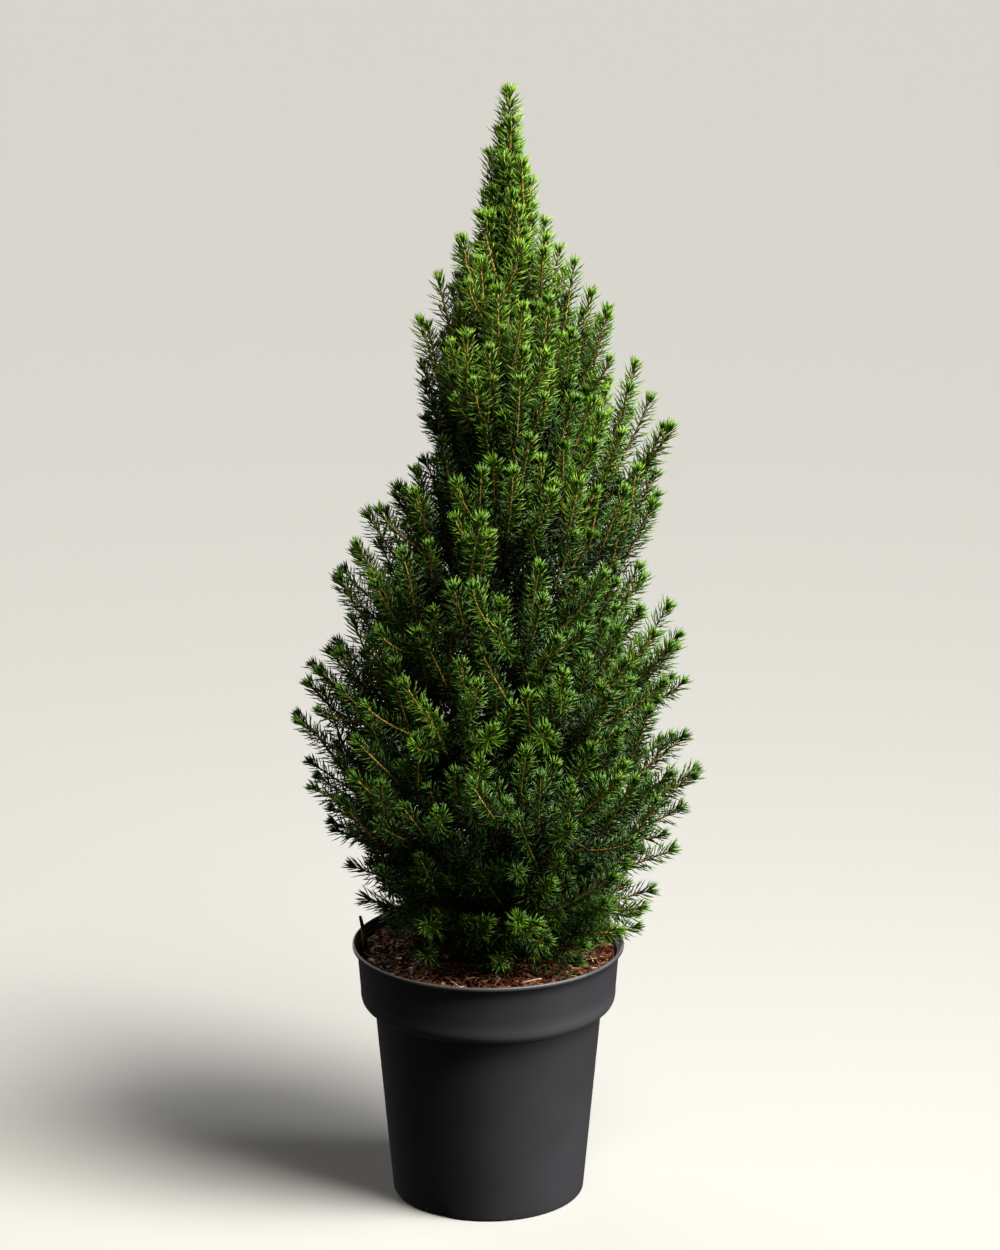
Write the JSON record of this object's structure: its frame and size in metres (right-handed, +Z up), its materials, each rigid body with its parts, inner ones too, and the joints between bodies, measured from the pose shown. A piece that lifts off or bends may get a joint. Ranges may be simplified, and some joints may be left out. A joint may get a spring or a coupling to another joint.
{
  "type": "potted white spruce",
  "caption": "Young dwarf white spruce with a dense, narrow conical crown of short needled shoots on a slim trunk, growing in a round dark plastic nursery pot topped with bark mulch.",
  "frame": {"origin": "centre of the pot's flat underside", "axes": "+Z up along the pot's axis and the trunk; -Y is the pictured side, so the crown's longer right side is at +X"},
  "size_m": [0.2862, 0.2843, 0.783],
  "materials": {
    "pot_plastic": "matte anthracite injection-moulded plastic",
    "mulch": "moist reddish-brown bark mulch",
    "bark": "rough grey-brown bark, orange-tan on young shoots",
    "foliage": "fresh to dark green needles"
  },
  "bodies": {
    "root": {"bough_broad_1": "bark", "bough_broad_2": "bark", "bough_broad_3": "bark", "bough_broad_4": "bark", "bough_broad_5": "bark", "bough_broad_6": "bark", "bough_lower_1": "bark", "bough_lower_2": "bark", "bough_lower_3": "bark", "bough_lower_4": "bark", "bough_lower_5": "bark", "bough_lower_6": "bark", "bough_skirt_1": "bark", "bough_skirt_2": "bark", "bough_skirt_3": "bark", "bough_skirt_4": "bark", "bough_skirt_5": "bark", "foliage_broad_1": "foliage", "foliage_broad_2": "foliage", "foliage_broad_3": "foliage", "foliage_broad_4": "foliage", "foliage_broad_5": "foliage", "foliage_broad_6": "foliage", "foliage_crest_1": "foliage", "foliage_crest_2": "foliage", "foliage_lower_1": "foliage", "foliage_lower_2": "foliage", "foliage_lower_3": "foliage", "foliage_lower_4": "foliage", "foliage_lower_5": "foliage", "foliage_lower_6": "foliage", "foliage_middle_1": "foliage", "foliage_middle_2": "foliage", "foliage_middle_3": "foliage", "foliage_middle_4": "foliage", "foliage_middle_5": "foliage", "foliage_shoulder_1": "foliage", "foliage_shoulder_2": "foliage", "foliage_shoulder_3": "foliage", "foliage_shoulder_4": "foliage", "foliage_skirt_1": "foliage", "foliage_skirt_2": "foliage", "foliage_skirt_3": "foliage", "foliage_skirt_4": "foliage", "foliage_skirt_5": "foliage", "foliage_spire_1": "foliage", "foliage_spire_2": "foliage", "foliage_spire_3": "foliage", "foliage_upper_1": "foliage", "foliage_upper_2": "foliage", "foliage_upper_3": "foliage", "foliage_upper_4": "foliage", "leader": "foliage", "pot": "pot_plastic", "soil": "mulch", "trunk": "bark"}
  },
  "joints": []
}
